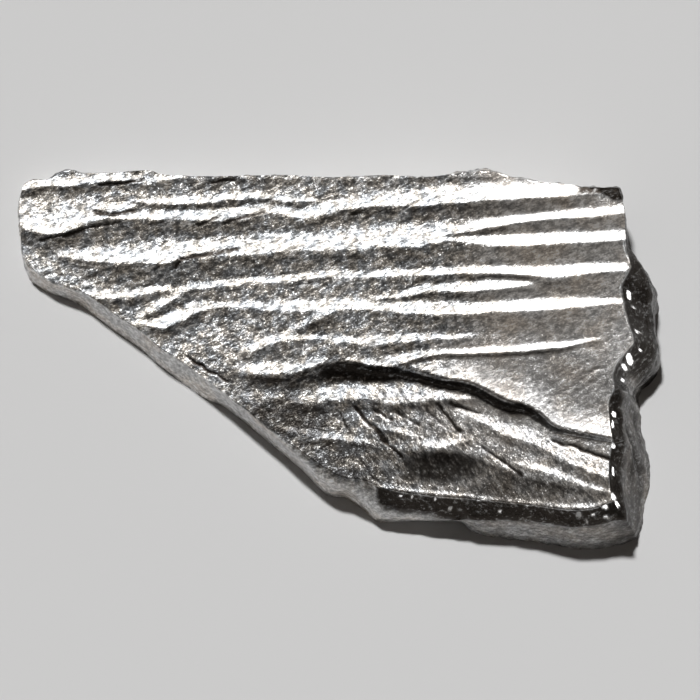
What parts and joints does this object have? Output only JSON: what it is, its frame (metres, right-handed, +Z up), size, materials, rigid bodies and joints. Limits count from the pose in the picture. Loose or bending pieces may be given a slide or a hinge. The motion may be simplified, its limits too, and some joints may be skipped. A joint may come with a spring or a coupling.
{
  "type": "tantalum metal piece",
  "caption": "Broken slab of bright grey metal with a ridged upper face, a torn step across it, one clean cut side and a flat underside.",
  "frame": {"origin": "middle of the footprint, on the flat underside that the piece lies on", "axes": "+X along the length towards the thick end with the dark lump, +Y towards the straight back edge, +Z up through the ridged face"},
  "size_m": [0.02, 0.012, 0.0027],
  "materials": {
    "tantalum": "bare refractory metal, satin to bright on the ridges, matt grey on the cut side"
  },
  "bodies": {
    "root": {"tantalum_slab": "tantalum"}
  },
  "joints": []
}
